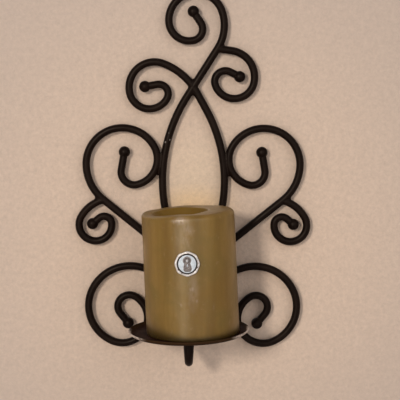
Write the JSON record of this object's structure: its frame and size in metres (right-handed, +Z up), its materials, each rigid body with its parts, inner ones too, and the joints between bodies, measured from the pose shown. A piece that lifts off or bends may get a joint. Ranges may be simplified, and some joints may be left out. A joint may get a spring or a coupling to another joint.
{
  "type": "wall sconce candle holder",
  "caption": "Wall sconce of scrolled round iron bar with ball ends, carrying a drip pan on a curved arm for a pillar candle held upright in front of the wall.",
  "frame": {"origin": "on the wall plane, midway between the two side screw holes at the back of the back plate", "axes": "+Z up the wall, +X to the viewer's right, -Y out of the wall towards the viewer; the wall is the plane y = 0"},
  "size_m": [0.2016, 0.1144, 0.3114],
  "materials": {
    "ironwork": "satin black paint with a faint bronze tone over bent round iron bar",
    "pan_steel": "satin black paint on spun sheet steel",
    "wax": "olive tan pillar candle wax, waxy sheen",
    "cotton": "charred cotton wick",
    "silver": "silver-coloured cast metal with darkened recesses"
  },
  "bodies": {
    "frame": {"left_stem_scroll": "ironwork", "top_ball": "ironwork", "right_stem": "ironwork", "upper_left_scroll": "ironwork", "upper_left_ball": "ironwork", "upper_right_scroll": "ironwork", "upper_right_ball": "ironwork", "mid_left_scroll": "ironwork", "mid_left_ball": "ironwork", "small_left_scroll": "ironwork", "small_left_ball": "ironwork", "lower_left_scroll": "ironwork", "lower_left_ball": "ironwork", "mid_right_scroll": "ironwork", "mid_right_ball": "ironwork", "small_right_scroll": "ironwork", "small_right_ball": "ironwork", "lower_right_scroll": "ironwork", "lower_right_ball": "ironwork", "back_plate": "ironwork", "support_arm": "ironwork", "pan_rivet": "ironwork", "drip_pan": "pan_steel", "crossing_welds": "ironwork", "upper_branch_welds": "ironwork", "left_branch_welds": "ironwork", "right_branch_welds": "ironwork", "hub_welds": "ironwork", "arm_welds": "ironwork"},
    "candle": {"candle": "wax", "wick": "cotton"},
    "candle_pin": {"candle_pin_medallion": "silver", "candle_pin_shank": "silver"}
  },
  "joints": [
    {"name": "candle_lift", "type": "slide", "parent": "frame", "child": "candle", "axis": [0, 0, 1], "range_m": [0, 0.12]},
    {"name": "candle_pin_pull", "type": "slide", "parent": "candle", "child": "candle_pin", "axis": [0, -1, 0], "range_m": [0, 0.013]}
  ]
}
